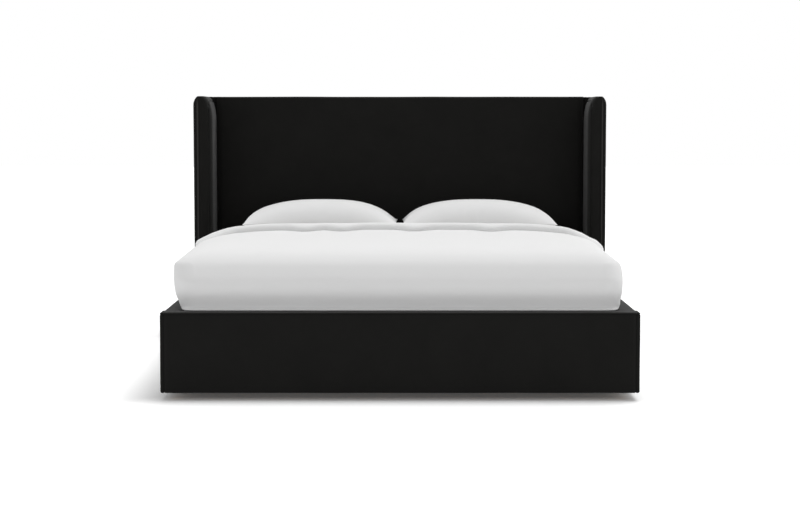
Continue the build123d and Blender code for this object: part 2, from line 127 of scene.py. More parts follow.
def node_material(name):
    """A new material: the material, its node tree and its shader."""
    made = bpy.data.materials.new(name)
    made.use_nodes = True
    return made, made.node_tree, made.node_tree.nodes["Principled BSDF"]


def seen_directly(tree):
    """1 on rays from the camera and on rays that gloss or glass sends out, 0 on all others."""
    path = tree.nodes.new("ShaderNodeLightPath").outputs
    either = math_node(tree, "MAXIMUM", path["Is Camera Ray"], path["Is Glossy Ray"])
    return math_node(tree, "MAXIMUM", either, path["Is Transmission Ray"])


floor_mesh = bpy.data.meshes.new("floor")
floor = bpy.data.objects.new("floor", floor_mesh)
scene.collection.objects.link(floor)
form = bmesh.new()
bmesh.ops.create_grid(form, x_segments=2, y_segments=2, size=floor_half)
form.to_mesh(floor_mesh)
form.free()
floor_material, tree, shader = node_material("floor")
apart = add_node(tree, "SeparateXYZ", {0: place_node(tree)}).outputs
# Each axis gives a mask of painted shade on the floor round the bed.
outside = []
for axis, shift, reach, fade in (
    ("X", painted_shadow_shift, cad_box[1].x, painted_shade_fade_x),
    ("Y", 0, cad_box[1].y, painted_shade_fade_y),
):
    moved = math_node(tree, "ADD", apart[axis], shift)
    past = add_node(tree, "MapRange", {
        "Value": math_node(tree, "ABSOLUTE", moved),
        "From Min": reach + fade[0],
        "From Max": reach + fade[1],
        "To Min": floor_lift_in_painted_shade,
        "To Max": floor_lift,
    })
    past.interpolation_type = "SMOOTHSTEP"
    outside.append(past.outputs[0])
either = math_node(tree, "MAXIMUM", outside[0], outside[1])
fill_in(tree, shader, {
    "Base Color": (floor_paint, floor_paint, floor_paint, 1),
    "Roughness": 1,
    "Specular IOR Level": 0,
    "Emission Color": (1, 1, 1, 1),
    "Emission Strength": math_node(tree, "MULTIPLY", seen_directly(tree), either),
})
floor_mesh.materials.append(floor_material)

world = bpy.data.worlds.new("room")
scene.world = world
world.use_nodes = True
tree = world.node_tree
apart = add_node(tree, "SeparateXYZ", {0: place_node(tree, "Generated")}).outputs
square = math_node(tree, "MULTIPLY", apart["X"], apart["X"])
sides = math_node(tree, "MULTIPLY_ADD", square, room_light * room_sides, room_light * room_front)
level = add_node(tree, "MapRange", {"Value": seen_directly(tree), "To Min": sides, "To Max": 1})
fill_in(tree, tree.nodes["Background"], {"Color": (1, 1, 1, 1), "Strength": level.outputs[0]})

lamp = bpy.data.objects.new("lamp", bpy.data.lights.new("lamp", "SUN"))
scene.collection.objects.link(lamp)
lamp.location = lamp_place
lamp.rotation_euler = (-Vector(lamp_place)).to_track_quat("-Z", "Y").to_euler()
lamp.data.angle = math.radians(lamp_spread)
lamp.data.energy = lamp_strength

# Foot rail cover: nearly black velvet, brushed in soft patches, pulled over padding round both
# front corners and turned under the rail, with a sewn seam just under the top edge and one beside
# each corner. Its pile catches light where it is seen edge on, and a highlight is painted paler
# over a welt.
velvet_dark = (0.0042, 0.0041, 0.0037, 1)
velvet_light = (0.0090, 0.0087, 0.0079, 1)
# The third colour is a painted highlight, laid paler over each welt's cord.
velvet_painted_highlight = (0.0330, 0.0320, 0.0300, 1)
# Patches and threads of pile, as counts to a metre, and how high the pile stands.
velvet_patches = 7
velvet_pile = 900
velvet_pile_height = 0.0005
rail_low, rail_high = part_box("foot_rail_cover")[0].z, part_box("foot_rail_cover")[1].z
rail_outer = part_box("foot_rail_cover")[1].x
foot_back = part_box("foot_rail_cover")[1].y
foot_core_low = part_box("foot_rail_core")[0]
side_core_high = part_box("side_rail_core_right")[1]
rail_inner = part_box("side_rail_cover_right")[0].x
wrap_bottom = rail_high - 0.088
# How thick the cloth is, and how far a hem reaches under a rail.
cloth = 0.0015
hem_under = 0.020
foot_round = 0.007
rail_round = 0.018
rail_inner_round = 0.005
rail_low_round = 0.007
foot_top_seam = 0.0075
foot_side_seam = 0.014
seam_depth = 0.0030
seam_half = 0.003
grid_step = 0.028
# How much a cover ripples, and over what length.
velvet_wave = 0.0006
velvet_wave_size = 0.16


def noise_node(tree, place, scale, detail, roughness=0.5, distortion=0):
    """Cloudy noise: how light it is at each place."""
    made = add_node(tree, "TexNoise", {
        "Vector": place, "Scale": scale, "Detail": detail,
        "Roughness": roughness, "Distortion": distortion,
    })
    return made.outputs["Fac"]


def mix_node(tree, share, low, high):
    """A colour between two, by a share that varies over the surface."""
    made = tree.nodes.new("ShaderNodeMix")
    made.data_type = "RGBA"
    fill_in(tree, made, {"Factor": share, "A": low, "B": high})
    return made.outputs["Result"]


def bump_node(tree, height, strength, distance):
    """Relief: a surface raised by a height that varies over it."""
    return add_node(tree, "Bump", {"Height": height, "Strength": strength, "Distance": distance})


def velvet_material():
    """Short pile that lies this way and that in patches, with a highlight painted paler over the
    welts.
    """
    made, tree, shader = node_material("black velvet")
    place = place_node(tree)
    patches = noise_node(tree, place, velvet_patches, 5, roughness=0.62)
    pile = noise_node(tree, place, velvet_pile, 2)
    # This attribute carries the painted highlight over the welts.
    painted_highlight = tree.nodes.new("ShaderNodeAttribute")
    painted_highlight.attribute_name = "painted_highlight"
    brushed = mix_node(tree, patches, velvet_dark, velvet_light)
    relief = bump_node(tree, pile, 0.35, velvet_pile_height)
    fill_in(tree, shader, {
        "Base Color": mix_node(tree, painted_highlight.outputs["Fac"], brushed, velvet_painted_highlight),
        "Roughness": 0.8,
        "Specular IOR Level": 0.10,
        "Sheen Weight": 0.12,
        "Sheen Roughness": 0.5,
        "Normal": relief.outputs["Normal"],
    })
    return made


velvet = velvet_material()


def block(low, high):
    """A box mesh between two corners."""
    form = bmesh.new()
    bmesh.ops.create_cube(form, size=1)
    for vert in form.verts:
        vert.co = [a + (c + 0.5) * (b - a) for a, b, c in zip(low, high, vert.co)]
    return form


def round_edges(form, radius, wanted, steps=5):
    """Rounds each edge whose middle is wanted."""
    edges = [e for e in form.edges if wanted((e.verts[0].co + e.verts[1].co) / 2)]
    bmesh.ops.bevel(form, geom=edges, offset=radius, affect="EDGES", segments=steps,
                    profile=0.5, material=-1)


def slice_at(form, axis, places):
    """Cuts the mesh across one axis at each place, so that it has vertices there."""
    normal = [0, 0, 0]
    normal[axis] = 1
    for place in places:
        point = [0, 0, 0]
        point[axis] = place
        bmesh.ops.bisect_plane(form, geom=form.verts[:] + form.edges[:] + form.faces[:], dist=1e-5,
                               plane_co=point, plane_no=normal)


def even_slices(form, axis, low, high, step):
    """Cuts the mesh into slices of about one step each."""
    count = max(2, round((high - low) / step))
    slice_at(form, axis, [low + (high - low) * i / count for i in range(1, count)])


def near(a, b, slack=0.0008):
    """True where two measures are the same but for rounding."""
    return abs(a - b) < slack


def sew(form, axis, place, wanted, depth=seam_depth):
    """Draws the surface in along one sewn line."""
    slice_at(form, axis, [place - seam_half, place, place + seam_half])
    form.normal_update()
    line = [v for v in form.verts if near(v.co[axis], place, 1e-4) and wanted(v.co)]
    moves = [(v, v.normal.copy()) for v in line]
    for vert, normal in moves:
        vert.co -= normal * depth


def ripple(form, amount, size):
    """Unevenness of a stuffed cover: each vertex moves a little along its normal."""
    form.normal_update()
    moves = [(v, v.normal * amount * noise.noise(v.co / size)) for v in form.verts]
    for vert, move in moves:
        vert.co += move


def drop_faces(form, bare):
    """Deletes the faces that are bare, told by their middle and their normal."""
    bmesh.ops.delete(form, geom=[f for f in form.faces if bare(f.calc_center_median(), f.normal)],
                     context="FACES")


def finish_piece(form, name, material, thickness=0.0):
    """Turns the mesh into a smooth object, as thick as its cloth where it is open."""
    bmesh.ops.recalc_face_normals(form, faces=form.faces)
    if all(len(e.link_faces) == 2 for e in form.edges) and form.calc_volume(signed=True) < 0:
        bmesh.ops.reverse_faces(form, faces=form.faces)
    for edge in form.edges:
        edge.smooth = len(edge.link_faces) == 2
    mesh = bpy.data.meshes.new(name)
    form.to_mesh(mesh)
    form.free()
    mesh.materials.append(material)
    mesh.shade_smooth()
    piece = bpy.data.objects.new(name, mesh)
    scene.collection.objects.link(piece)
    if thickness:
        shell = piece.modifiers.new("cloth", "SOLIDIFY")
        shell.thickness = thickness
        shell.offset = -1
    return piece


def velvet_piece(form, name, node):
    """Finishes a velvet cover that stands for a CAD node."""
    piece = finish_piece(form, name, velvet, cloth)
    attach(piece, "frame")
    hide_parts(node)


form = block((-rail_outer, bed_foot, rail_low - cloth), (rail_outer, foot_back, rail_high))
round_edges(form, foot_round, lambda m: (
    (near(m.y, bed_foot) and m.z > rail_low) or (near(m.z, rail_high) and not near(m.y, foot_back))
))
round_edges(form, rail_low_round, lambda m: (
    near(m.z, rail_low - cloth) and not near(m.y, foot_back)
), 3)
even_slices(form, 0, -rail_outer, rail_outer, grid_step)
even_slices(form, 2, rail_low, rail_high, grid_step)
slice_at(form, 1, [foot_core_low.y + hem_under])
slice_at(form, 2, [wrap_bottom])
side_hem = side_core_high.x - hem_under
slice_at(form, 0, [-side_hem, side_hem, -rail_inner, rail_inner])
sew(form, 2, rail_high - foot_top_seam, lambda c: c.y < foot_back - seam_half)
for side in (-1, 1):
    sew(form, 0, side * (rail_outer - foot_side_seam), lambda c: c.y < foot_core_low.y)
drop_faces(form, lambda c, n: near(c.y, foot_back) and (c.z < wrap_bottom or abs(c.x) > rail_inner))
drop_faces(form, lambda c, n: (
    near(c.z, rail_low - cloth) and c.y > foot_core_low.y + hem_under and abs(c.x) < side_hem
))
ripple(form, velvet_wave, velvet_wave_size)
velvet_piece(form, "foot_rail_velvet", "foot_rail_cover")

# Side rail covers: the same velvet over the outside and the top of each side rail, with the same
# seam under its top edge, turned down inside the well and under the rail.
side_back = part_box("side_rail_cover_right")[1].y
bed_sides = (("left", -1), ("right", 1))


def mirror(form, side):
    """Moves a piece of the right side over to the left one where side is -1."""
    for vert in form.verts:
        vert.co.x *= side


for name, side in bed_sides:
    form = block((rail_inner, foot_back, rail_low - cloth), (rail_outer, side_back, rail_high))
    round_edges(form, rail_round, lambda m: near(m.z, rail_high) and near(m.x, rail_outer))
    round_edges(form, rail_inner_round, lambda m: near(m.z, rail_high) and near(m.x, rail_inner), 3)
    round_edges(form, rail_low_round, lambda m: (
        near(m.z, rail_low - cloth) and near(m.x, rail_outer)
    ), 3)
    even_slices(form, 1, foot_back, side_back, grid_step)
    even_slices(form, 2, rail_low, rail_high, grid_step)
    slice_at(form, 0, [side_hem, (rail_inner + rail_outer) / 2])
    slice_at(form, 2, [wrap_bottom])
    sew(form, 2, rail_high - foot_top_seam, lambda c: c.x > side_core_high.x)
    drop_faces(form, lambda c, n: near(c.y, foot_back) or near(c.y, side_back))
    drop_faces(form, lambda c, n: near(c.x, rail_inner) and c.z < wrap_bottom)
    drop_faces(form, lambda c, n: near(c.z, rail_low - cloth) and c.x < side_hem)
    ripple(form, velvet_wave, velvet_wave_size)
    mirror(form, side)
    velvet_piece(form, "side_rail_velvet_" + name, "side_rail_cover_" + name)

# Headboard pad: one wide panel of velvet over foam, a little fuller in the middle, that rolls over
# the top edge. Its lower corners are cut out round the side rails.
pad_low, pad_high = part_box("headboard_pad")
pad_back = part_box("headboard_face_board")[0].y
back_cover_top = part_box("headboard_back_cover")[1].z
pad_round = 0.012
pad_cut_x = rail_inner - cloth
pad_cut_z = rail_high + cloth
# How far the panel's edges fall back, how far its top edge stands up, and how flat its middle is.
pad_swell = 0.0035
pad_crown = 0.0018
pad_flatness = 0.25
pad_wave = velvet_wave * 1.6
pad_wave_size = velvet_wave_size * 1.5
form = block(pad_low, pad_high)
round_edges(form, pad_round, lambda m: near(m.z, pad_high.z) and near(m.x, 0))
even_slices(form, 0, pad_low.x, pad_high.x, grid_step)
even_slices(form, 2, pad_low.z, pad_high.z, grid_step)
slice_at(form, 0, [-pad_cut_x, pad_cut_x])
slice_at(form, 1, [pad_back])
slice_at(form, 2, [pad_cut_z, back_cover_top, pad_high.z - pad_round - seam_half])
drop_faces(form, lambda c, n: c.y > pad_back and c.z < back_cover_top)
drop_faces(form, lambda c, n: abs(c.x) > pad_cut_x and c.z < pad_cut_z)
drop_faces(form, lambda c, n: near(c.z, pad_low.z))
for vert in form.verts:
    if near(vert.co.y, pad_low.y):
        across = 1 - (vert.co.x / pad_high.x) ** 2
        vert.co.y += pad_swell * (1 - across ** pad_flatness)
    if vert.co.z > pad_high.z - pad_round:
        vert.co.z += pad_crown
ripple(form, pad_wave, pad_wave_size)
velvet_piece(form, "headboard_velvet", "headboard_pad")

# Headboard back: a flat velvet cover stapled over the timbers, with a turned hem sewn down all
# round. It has no padding, because it stands against the wall.
cover_low, cover_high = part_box("headboard_back_cover")
cover_hem = 0.022
cover_round = 0.003
cover_step = grid_step * 2
cover_seam_depth = seam_depth / 2
form = block((cover_low.x, cover_low.y, cover_low.z - cloth), cover_high)
round_edges(form, cover_round, lambda m: near(m.y, cover_high.y), 3)
even_slices(form, 0, cover_low.x, cover_high.x, cover_step)
even_slices(form, 2, cover_low.z, cover_high.z, cover_step)
for axis, place in (
    (0, cover_hem - cover_high.x), (0, cover_high.x - cover_hem),
    (2, cover_low.z + cover_hem), (2, cover_high.z - cover_hem),
):
    sew(form, axis, place, lambda c: near(c.y, cover_high.y), cover_seam_depth)
drop_faces(form, lambda c, n: near(c.y, cover_low.y))
ripple(form, velvet_wave, velvet_wave_size)
velvet_piece(form, "headboard_back_velvet", "headboard_back_cover")

# Wings: upright padded panels outside the side rails. The outer shell has a thin welt line near
# its edge, and the inner side is a thicker pad that rolls round the front and over the top in a
# long curve.
wing_low, wing_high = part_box("wing_pad_right")
wing_core_low, wing_core_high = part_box("wing_core_right")
wing_outer_round = 0.008
wing_inner_round = 0.038
wing_top_round = 0.038
# The long curve at the top of the inner side: its width, its height and its steps.
wing_curve_width = 0.041
wing_curve_height = 0.115
wing_curve_steps = 12
wing_pad_seam = wing_low.x + 0.020
wing_welt_line = wing_high.x - 0.0185
wing_groove = 0.003
wing_groove_back = pad_low.y + 0.020
wing_welt_height = 0.0030
wing_welt_half = 0.0040
wing_hem = hem_under / 2
wing_seam_depth = seam_depth * 1.4
wing_wave = velvet_wave * 1.4
# How high a welt stands at its middle and at each quarter of its width out from there. Where
# positive, the same shares set how much highlight is painted on the pile there.
welt_profile = (1, 0.8, -0.1, -0.6)


def wing_inner_side(co):
    """How far the wing's inner side has drawn in at a point: most at its top, and only as far
    back as the groove beside the headboard."""
    if co.y > wing_groove_back + cloth:
        return 0
    up = max(co.z - (wing_high.z - wing_curve_height), 0) / wing_curve_height
    curved = 1 - math.sqrt(max(1 - up * up, 0))
    return wing_groove + (wing_curve_width - wing_groove) * curved


def welt(form, axis, place, fullness, height, half):
    """A raised cord under the cloth along one line, with a groove on each side. It also paints a
    highlight over the cord, kept on its vertices for the velvet.
    """
    slice_at(form, axis, [place + half * i / 2 for i in range(-4, 5)])
    form.normal_update()
    # Each vertex keeps its share of the painted highlight, most over the cord's middle.
    painted_highlight = form.verts.layers.float.get("painted_highlight") or form.verts.layers.float.new("painted_highlight")
    moves = []
    for vert in form.verts:
        for i, share in enumerate(welt_profile):
            if near(abs(vert.co[axis] - place), half * i / 2, 1e-4):
                moves.append((vert, vert.normal * height * share * fullness(vert.co)))
                vert[painted_highlight] = max(share, 0) * fullness(vert.co)
    for vert, move in moves:
        vert.co += move


for name, side in bed_sides:
    form = block((wing_low.x, wing_low.y, wing_low.z - cloth), wing_high)
    round_edges(form, wing_top_round, lambda m: (
        near(m.z, wing_high.z) and near(m.x, wing_high.x)
    ), 6)
    round_edges(form, wing_inner_round, lambda m: (
        near(m.y, wing_low.y) and near(m.x, wing_low.x)
    ), 6)
    round_edges(form, wing_outer_round, lambda m: (
        near(m.y, wing_low.y) and m.z > wing_low.z and m.x > wing_low.x + wing_inner_round
    ), 4)
    turns = [math.radians(90 * i / wing_curve_steps) for i in range(wing_curve_steps)]
    slice_at(form, 2, [wing_high.z - wing_curve_height * (1 - math.sin(t)) for t in turns])
    even_slices(form, 2, wing_low.z, wing_high.z - wing_curve_height, grid_step)
    even_slices(form, 1, wing_low.y + wing_inner_round, wing_high.y, grid_step)
    slice_at(form, 1, [wing_groove_back, wing_groove_back + cloth * 2])
    for vert in form.verts:
        share = (wing_high.x - vert.co.x) / (wing_high.x - wing_low.x)
        vert.co.x += wing_inner_side(vert.co) * share
    slice_at(form, 0, [wing_core_low.x + wing_hem, wing_core_high.x - wing_hem])
    sew(form, 0, wing_pad_seam, lambda c: c.z > wing_low.z + seam_half, wing_seam_depth)
    # The welt's painted highlight fades with its height where the wing's top rounds over.
    welt(form, 0, wing_welt_line, lambda c: (
        c.y < wing_low.y + seam_half and c.z > wing_low.z + seam_half
        and min((wing_high.z - c.z) / wing_top_round, 1)
    ), wing_welt_height, wing_welt_half)
    drop_faces(form, lambda c, n: near(c.z, wing_low.z - cloth) and (
        wing_core_low.x + wing_hem < c.x < wing_core_high.x - wing_hem
        and wing_low.y + hem_under * 2 < c.y < wing_high.y - hem_under
    ))
    ripple(form, wing_wave, velvet_wave_size)
    mirror(form, side)
    velvet_piece(form, "wing_velvet_" + name, "wing_pad_" + name)

# Mattress: springs and foam in white ticking, with a quilted top and bottom between two taped
# edges and a plain border. It lies loose on the slats, under the duvet and the pillows.
ticking_colour = (0.80, 0.79, 0.76, 1)
mattress_low, mattress_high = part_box("mattress")
mattress_corner = 0.060
mattress_edge = 0.022
tape_height = 0.0030
quilt_step = 0.11
quilt_depth = 0.006
quilt_crown = 0.5
quilt_flat = 4
thread_shade = 0.985


def woven_material(name, colour, thread, weave, wave_size, wave_height):
    """Woven cotton: fine crossed threads of a given width, and slubs that lift the cloth a little
    and change its tone."""
    made, tree, shader = node_material(name)
    place = place_node(tree)
    heights = []
    for direction in ("X", "Y"):
        threads = add_node(tree, "TexWave", {
            "Vector": place, "Scale": math.pi / 10 / thread, "Distortion": 0.6,
        })
        threads.bands_direction = direction
        heights.append(threads.outputs["Fac"])
    slubs = noise_node(tree, place, 1 / wave_size, 3)
    fine = bump_node(tree, math_node(tree, "ADD", heights[0], heights[1]), weave, thread / 4)
    broad = bump_node(tree, slubs, 0.6, wave_height)
    fill_in(tree, broad, {"Normal": fine.outputs["Normal"]})
    shaded = [c * thread_shade for c in colour[:3]] + [1]
    fill_in(tree, shader, {
        "Base Color": mix_node(tree, slubs, shaded, colour),
        "Roughness": 0.9,
        "Specular IOR Level": 0.15,
        "Sheen Weight": 0.05,
        "Normal": broad.outputs["Normal"],
    })
    return made


ticking = woven_material("mattress ticking", ticking_colour, thread=0.0012, weave=0.5,
                         wave_size=0.06, wave_height=0.0008)
mattress_tapes = (mattress_low.z + mattress_edge, mattress_high.z - mattress_edge)
form = block(mattress_low, mattress_high)
round_edges(form, mattress_corner, lambda m: near(m.z, (mattress_low.z + mattress_high.z) / 2), 8)
round_edges(form, mattress_edge, lambda m: (
    near(m.z, mattress_low.z) or near(m.z, mattress_high.z)
), 5)
even_slices(form, 0, mattress_low.x, mattress_high.x, quilt_step / 4)
even_slices(form, 1, mattress_low.y, mattress_high.y, quilt_step / 4)
even_slices(form, 2, mattress_tapes[0], mattress_tapes[1], quilt_step / 3)
for place in mattress_tapes:
    welt(form, 2, place, lambda c: 1, tape_height, seam_half)
form.normal_update()
for vert in form.verts:
    flat = abs(vert.normal.z) ** quilt_flat
    first = abs(math.sin(math.pi * (vert.co.x + vert.co.y) / quilt_step / 2))
    second = abs(math.sin(math.pi * (vert.co.x - vert.co.y) / quilt_step / 2))
    low = 1 - min(first, second) ** quilt_crown
    vert.co.z -= math.copysign(quilt_depth * low * flat, vert.normal.z)
mattress = finish_piece(form, "mattress_body", ticking)
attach(mattress, "mattress")
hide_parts("mattress")

# Duvet: white cotton stuffed with down, tucked in between the mattress and the rails, swollen over
# the rails, crowned on top and pressed in along the folded cuff. It is drawn from a plain block
# whose upright measure runs from 0 at the hem to 1 at the top, and then blown up as cloth.
cotton_colour = (0.82, 0.82, 0.82, 1)
duvet_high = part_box("duvet")[1]
duvet_loft = 0.066
duvet_top = mattress_high.z + duvet_loft
duvet_rise = duvet_top - rail_high
duvet_hem_half = rail_inner - 0.0045
duvet_hem_foot = foot_back + 0.002
duvet_corner = 0.048
duvet_mattress_gap = 0.0015
duvet_fold = 0.042
duvet_hem_fold = 0.016
duvet_step = 0.026
duvet_wall_step = 0.045
# How far in over the top the fullness of the sides carries, and how near the bed's middle it ends.
duvet_carry = 0.12
duvet_middle = 0.2
cuff_lip = duvet_high.y - 0.330
# The crease that the cuff presses into the duvet: its depth and reach, and where it dips.
crease_depth = 0.0075
crease_reach = 0.070
crease_dips = (-0.40, -0.245, 0.06, 0.38)
crease_dip_half = 0.055
# How hard and how far the duvet is blown up, the height up to which it is held still, and what
# share of the swelling its sides are given beforehand, easing in over a length.
duvet_pressure = 4
duvet_swell = 0.004
duvet_still = rail_high + 0.030
duvet_draw = 0.8
duvet_ease = 0.030
swell_frames = 20
full_reach = 0.0635
shoulder = 0.80
# For each height, as a share of the rise from the rails to the top: how far the cover stands out,
# as a share of full_reach, at the foot, at the left foot corner and the left head end, and at the
# right foot corner and the right head end.
wall_levels = [
    (-0.312, -0.02, -0.05, 0.00, -0.05, 0.00),
    (0.000, 0.00, -0.05, 0.00, -0.05, 0.00),
    (0.004, 0.32, 0.02, 0.02, 0.02, 0.02),
    (0.012, 0.44, 0.06, 0.06, 0.08, 0.06),
    (0.026, 0.34, 0.10, 0.12, 0.12, 0.12),
    (0.060, 0.12, 0.16, 0.22, 0.17, 0.20),
    (0.146, 0.20, 0.31, 0.58, 0.25, 0.55),
    (0.250, 0.41, 0.43, 0.90, 0.29, 0.86),
    (0.360, 0.59, 0.48, 1.12, 0.31, 1.08),
    (0.500, 0.64, 0.52, 1.29, 0.31, 1.27),
    (0.620, 0.45, 0.51, 1.32, 0.28, 1.28),
    (0.710, 0.26, 0.51, 1.29, 0.22, 0.93),
    (0.760, 0.15, 0.49, 1.09, 0.17, 0.64),
    (shoulder, 0.02, 0.40, 0.85, 0.04, 0.34),
]
# For each distance in from the shoulder: the height, as a share of that rise, at the foot, along a
# side at its foot end, and along a side at its head end.
top_levels = [
    (0.000, 0.800, 0.800, 0.800),
    (0.018, 0.870, 0.875, 0.830),
    (0.040, 0.918, 0.925, 0.857),
    (0.080, 0.955, 0.965, 0.900),
    (0.130, 0.974, 0.978, 0.930),
    (0.200, 0.986, 0.988, 0.963),
    (0.300, 0.994, 0.995, 0.984),
    (0.450, 0.998, 1.000, 0.994),
    (0.800, 1.000, 1.000, 0.998),
]


def between(table, place, column):
    """A smooth reading of one column of a table whose first column rises."""
    last = len(table) - 1
    at = next((i for i in range(last) if place <= table[i + 1][0]), last - 1)
    a, b = table[at], table[at + 1]
    before, after = table[max(at - 1, 0)], table[min(at + 2, last)]
    span = b[0] - a[0]
    share = min(max((place - a[0]) / span, 0), 1)
    rise_a = (b[column] - before[column]) / max(b[0] - before[0], 1e-9) * span
    rise_b = (after[column] - a[column]) / max(after[0] - a[0], 1e-9) * span
    s2, s3 = share * share, share ** 3
    return ((2 * s3 - 3 * s2 + 1) * a[column] + (s3 - 2 * s2 + share) * rise_a
            + (3 * s2 - 2 * s3) * b[column] + (s3 - s2) * rise_b)


def plan_direction(x, y):
    """The way out of the duvet's outline at a point on it, seen from above."""
    side = abs(x) - (duvet_hem_half - duvet_corner)
    front = (duvet_hem_foot + duvet_corner) - y
    if front <= 0:
        return Vector((math.copysign(1, x), 0, 0))
    if side <= 0:
        return Vector((0, -1, 0))
    return Vector((math.copysign(side, x), -front, 0)).normalized()


def along(y):
    """0 at the duvet's foot, 1 at its head end."""
    return (y - duvet_hem_foot) / (duvet_high.y - duvet_hem_foot)


def side_top(inset, y):
    """The height of the duvet's top a distance in from its side, as a share of its rise."""
    return between(top_levels, inset, 2) * (1 - along(y)) + between(top_levels, inset, 3) * along(y)


def on_top(co):
    """True on the upper face of the plain block."""
    return co.z >= 1 - 1e-6


def top_share(x, y):
    """The height of the duvet's top at a point of its plan, as a share of its rise."""
    from_side = max(duvet_hem_half - abs(x), 0)
    from_foot = max(y - duvet_hem_foot, 0)
    height = 1 - math.hypot(1 - between(top_levels, from_foot, 1), 1 - side_top(from_side, y))
    a, b = duvet_corner - from_side, duvet_corner - from_foot
    if a > 0 and b > 0:
        inset = max(duvet_corner - math.hypot(a, b), 0)
        wanted = between(top_levels, inset, 1) * b * b + side_top(inset, y) * a * a
        height += (wanted / (a * a + b * b) - height) * (1 - inset / duvet_corner) ** 2
    return height


def stand_out(share, direction, x, y):
    """How far the cover stands out past its hem at a height."""
    corner, head = (2, 3) if x < 0 else (4, 5)
    foot = between(wall_levels, share, 1)
    side = between(wall_levels, share, corner) * (1 - along(y))
    side += between(wall_levels, share, head) * along(y)
    return full_reach * (foot * direction.y ** 2 + side * direction.x ** 2)


def crease_dip(x):
    """How hard the folded end presses on the duvet across the bed: 1 at each of its dips."""
    return max(math.exp(-((x - dip) / crease_dip_half) ** 2) for dip in crease_dips)


def duvet_outside(co):
    """The duvet's outer surface for a point of the plain block that it is drawn from."""
    rim = top_share(co.x, co.y)
    if on_top(co):
        pressed = math.exp(-((co.y - cuff_lip) / crease_reach) ** 2)
        inset_side = duvet_hem_half - abs(co.x)
        inset_foot = co.y - duvet_hem_foot
        out = stand_out(shoulder, Vector((1, 0, 0)), co.x, co.y)
        out *= math.exp(-inset_side / duvet_carry)
        forward = stand_out(shoulder, Vector((0, -1, 0)), co.x, co.y)
        forward *= math.exp(-inset_foot / duvet_carry)
        return Vector((
            co.x + math.copysign(out, co.x) * min(abs(co.x) / duvet_middle, 1),
            co.y - forward,
            rail_high + duvet_rise * rim - crease_depth * crease_dip(co.x) * pressed,
        ))
    share = wall_levels[0][0] + (shoulder - wall_levels[0][0]) * co.z
    direction = plan_direction(co.x, co.y)
    out = stand_out(share, direction, co.x, co.y)
    height = share * rim / shoulder if share > 0 else share
    place = Vector((co.x, co.y, 0)) + direction * out
    return Vector((place.x, place.y, rail_high + duvet_rise * height))


def duvet_unfilled(co):
    """The outer surface before it is blown up: lower on top, and further out round the sides."""
    here = duvet_outside(co)
    if not on_top(co):
        free = min(max((here.z - duvet_still) / duvet_ease, 0), 1)
        return here + plan_direction(co.x, co.y) * duvet_swell * duvet_draw * free
    edge = math.exp(-min(duvet_hem_half - abs(co.x), co.y - duvet_hem_foot) / duvet_ease)
    outward = plan_direction(co.x, co.y) * duvet_swell * duvet_draw * edge
    return here + outward - Vector((0, 0, duvet_swell * (1 - edge)))


def duvet_inside(co):
    """The duvet's inner surface, lying on the mattress."""
    gap = Vector((duvet_mattress_gap, duvet_mattress_gap, duvet_mattress_gap))
    low, high = mattress_low - gap, mattress_high + gap
    x = min(max(co.x / duvet_hem_half * high.x, low.x), high.x)
    foot_share = (duvet_high.y - co.y) / (duvet_high.y - duvet_hem_foot)
    y = duvet_high.y - foot_share * (duvet_high.y - low.y)
    bottom = rail_high + duvet_rise * wall_levels[0][0]
    z = bottom + (high.z - bottom) * min(co.z, 1)
    corner = mattress_corner
    side = abs(x) - (high.x - corner)
    front = (low.y + corner) - y
    if side > 0 and front > 0:
        reach = math.hypot(side, front)
        if reach > corner:
            x = math.copysign(high.x - corner + side * corner / reach, x)
            y = low.y + corner - front * corner / reach
    return Vector((x, y, z))


def closing(distance, width):
    """0 at the closed rim of a stuffed layer, 1 from a width away: a round edge."""
    if distance < 1e-5:
        return 0
    gone = 1 - min(distance / width, 1)
    return math.sqrt(1 - gone * gone)


def two_layers(form, outer, inner, openness):
    """Doubles an open mesh into an outer and an inner layer that meet at its rim."""
    twin = bmesh.ops.duplicate(form, geom=form.verts[:] + form.edges[:] + form.faces[:])
    copies = {v for v in twin["geom"] if isinstance(v, bmesh.types.BMVert)}
    places = {}
    for vert in form.verts:
        upper, lower = outer(vert.co), inner(vert.co)
        middle = (upper + lower) / 2
        wanted = lower if vert in copies else upper
        places[vert] = middle + (wanted - middle) * openness(vert.co)
    for vert, place in places.items():
        vert.co = place
    inner_faces = [f for f in twin["geom"] if isinstance(f, bmesh.types.BMFace)]
    bmesh.ops.reverse_faces(form, faces=inner_faces)
    bmesh.ops.remove_doubles(form, verts=form.verts, dist=1e-5)
    bmesh.ops.recalc_face_normals(form, faces=form.faces)


def swell(piece, pressure, most, held):
    """Blows a stuffed layer up from inside as cloth, all but what is held, lets no point move
    further than most, and subdivides the layer once."""
    before = [v.co.copy() for v in piece.data.vertices]
    blown = piece.modifiers.new("swell", "CLOTH")
    group = piece.vertex_groups.new(name="held")
    group.add([i for i, co in enumerate(before) if held(co)], 1, "REPLACE")
    blown.settings.vertex_group_mass = group.name
    blown.settings.quality = 5
    blown.settings.use_pressure = True
    blown.settings.uniform_pressure_force = pressure
    blown.settings.effector_weights.gravity = 0
    for frame_number in range(1, swell_frames + 1):
        scene.frame_set(frame_number)
    swollen = piece.evaluated_get(bpy.context.evaluated_depsgraph_get())
    after = [v.co.copy() for v in swollen.data.vertices]
    piece.modifiers.remove(blown)
    scene.frame_set(1)
    for vert, start, end in zip(piece.data.vertices, before, after):
        move = end - start
        vert.co = start + move * min(1, most / max(move.length, 1e-9))
    piece.data.update()
    finer = piece.modifiers.new("finer", "SUBSURF")
    finer.levels = finer.render_levels = 1


cotton = woven_material("white cotton", cotton_colour, thread=0.001, weave=0.35,
                        wave_size=0.12, wave_height=0.0015)
